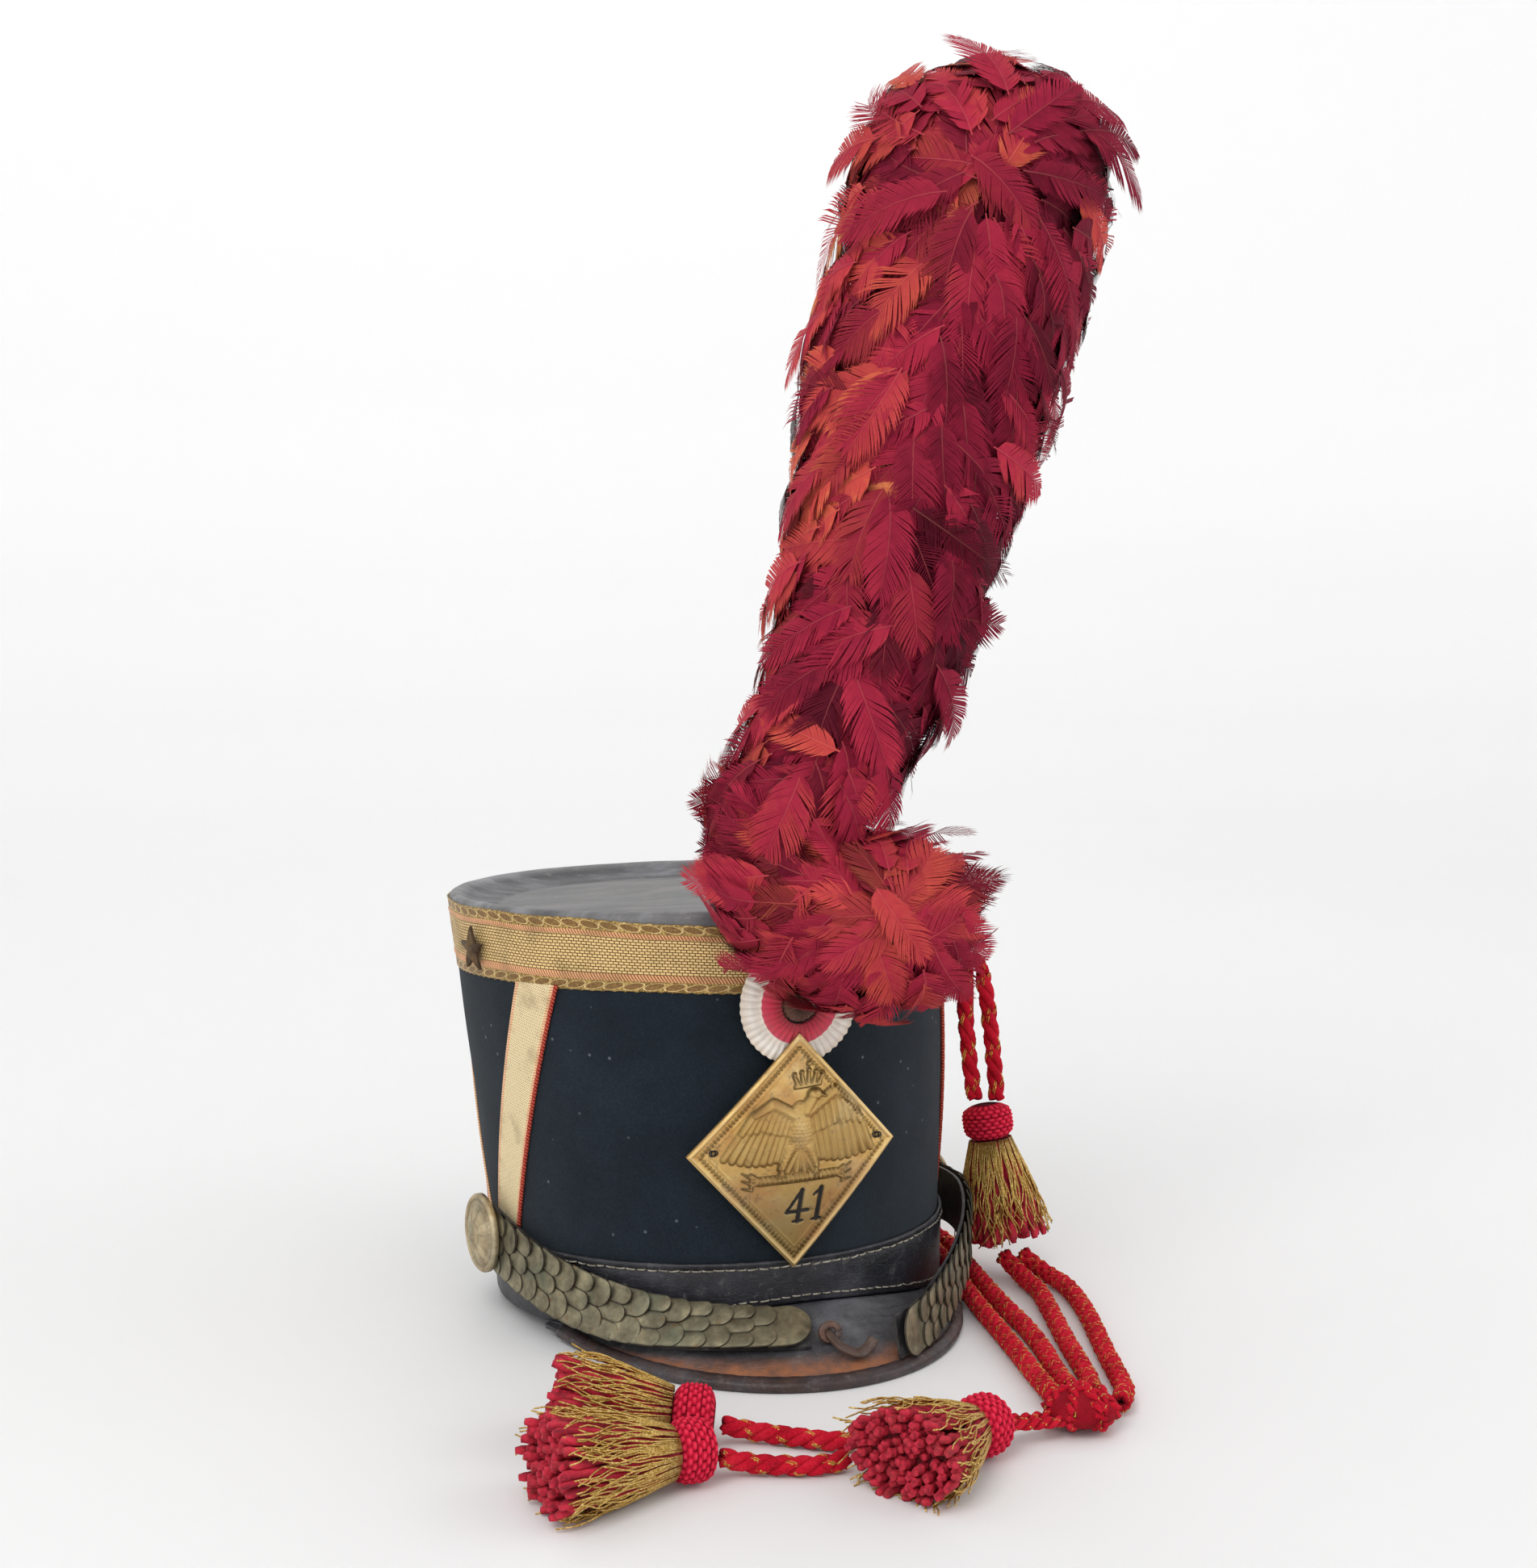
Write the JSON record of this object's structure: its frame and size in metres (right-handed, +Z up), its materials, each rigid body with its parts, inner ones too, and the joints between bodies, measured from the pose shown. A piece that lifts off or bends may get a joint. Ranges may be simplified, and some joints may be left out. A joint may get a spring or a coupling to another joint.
{
  "type": "plumed shako hat",
  "caption": "Flared cylindrical military cap with leather top and peak, brass lozenge plate, scaled chin straps, gold lace, tall curling feather plume and tasselled cords.",
  "frame": {"origin": "middle of the hat without its cords, on the surface it rests on", "axes": "+Z up, the front plate faces -Y, +X is to the right as seen from the front"},
  "size_m": [0.3324, 0.444, 0.6077],
  "materials": {
    "dark_cloth": "dense felted wool, matt",
    "black_leather": "worn, semi-matt",
    "grey_leather": "faded, dusty",
    "gold_lace": "woven metallic thread",
    "plate_brass": "polished, stamped, patchy tarnish",
    "aged_brass": "dark old patina",
    "white_ribbon": "pleated ribbon",
    "brown_ribbon": "pleated ribbon",
    "red_feather": "soft feathers",
    "red_cord": "twisted and knitted wool",
    "bullion": "crimped wire over wool"
  },
  "bodies": {
    "root": {"crown": "dark_cloth", "crownTop": "grey_leather", "topLace": "gold_lace", "laceLeftFront": "gold_lace", "laceLeftRear": "gold_lace", "laceRightFront": "gold_lace", "laceRightRear": "gold_lace", "starLeft": "aged_brass", "starRight": "aged_brass", "lowerBand": "black_leather", "peak": "black_leather", "peakBinding": "black_leather", "frontPlate": "plate_brass", "cockadeRosette": "white_ribbon", "cockadeCentre": "brown_ribbon", "plumeSleeve": "black_leather", "strapLeft": "black_leather", "strapRight": "black_leather", "scalesLeft1": "aged_brass", "scalesLeft2": "aged_brass", "scalesLeft3": "aged_brass", "scalesLeft4": "aged_brass", "scalesLeft5": "aged_brass", "scalesLeft6": "aged_brass", "scalesLeft7": "aged_brass", "scalesLeft8": "aged_brass", "endPlateLeft": "aged_brass", "bossLeft": "aged_brass", "scalesRight1": "aged_brass", "scalesRight2": "aged_brass", "scalesRight3": "aged_brass", "scalesRight4": "aged_brass", "scalesRight5": "aged_brass", "scalesRight6": "aged_brass", "scalesRight7": "aged_brass", "scalesRight8": "aged_brass", "endPlateRight": "aged_brass", "bossRight": "aged_brass", "tieThong": "black_leather", "plume": "red_feather", "cordHook": "aged_brass", "rearTab": "black_leather", "ropeInner": "red_cord", "ropeOuter": "red_cord", "cordFrontOuter": "red_cord", "cordFrontInner": "red_cord", "cordRearInner": "red_cord", "cordRearOuter": "red_cord", "cordTasselRear": "red_cord", "cordTasselFront": "red_cord", "cordKnot": "red_cord", "tasselHeadHanging": "red_cord", "tasselSkirtHanging": "bullion", "tasselHeadSide": "red_cord", "tasselSkirtSide": "bullion", "tasselHeadFront": "red_cord", "tasselSkirtFront": "bullion", "tasselHeadRear": "red_cord", "tasselSkirtRear": "bullion"}
  },
  "joints": []
}
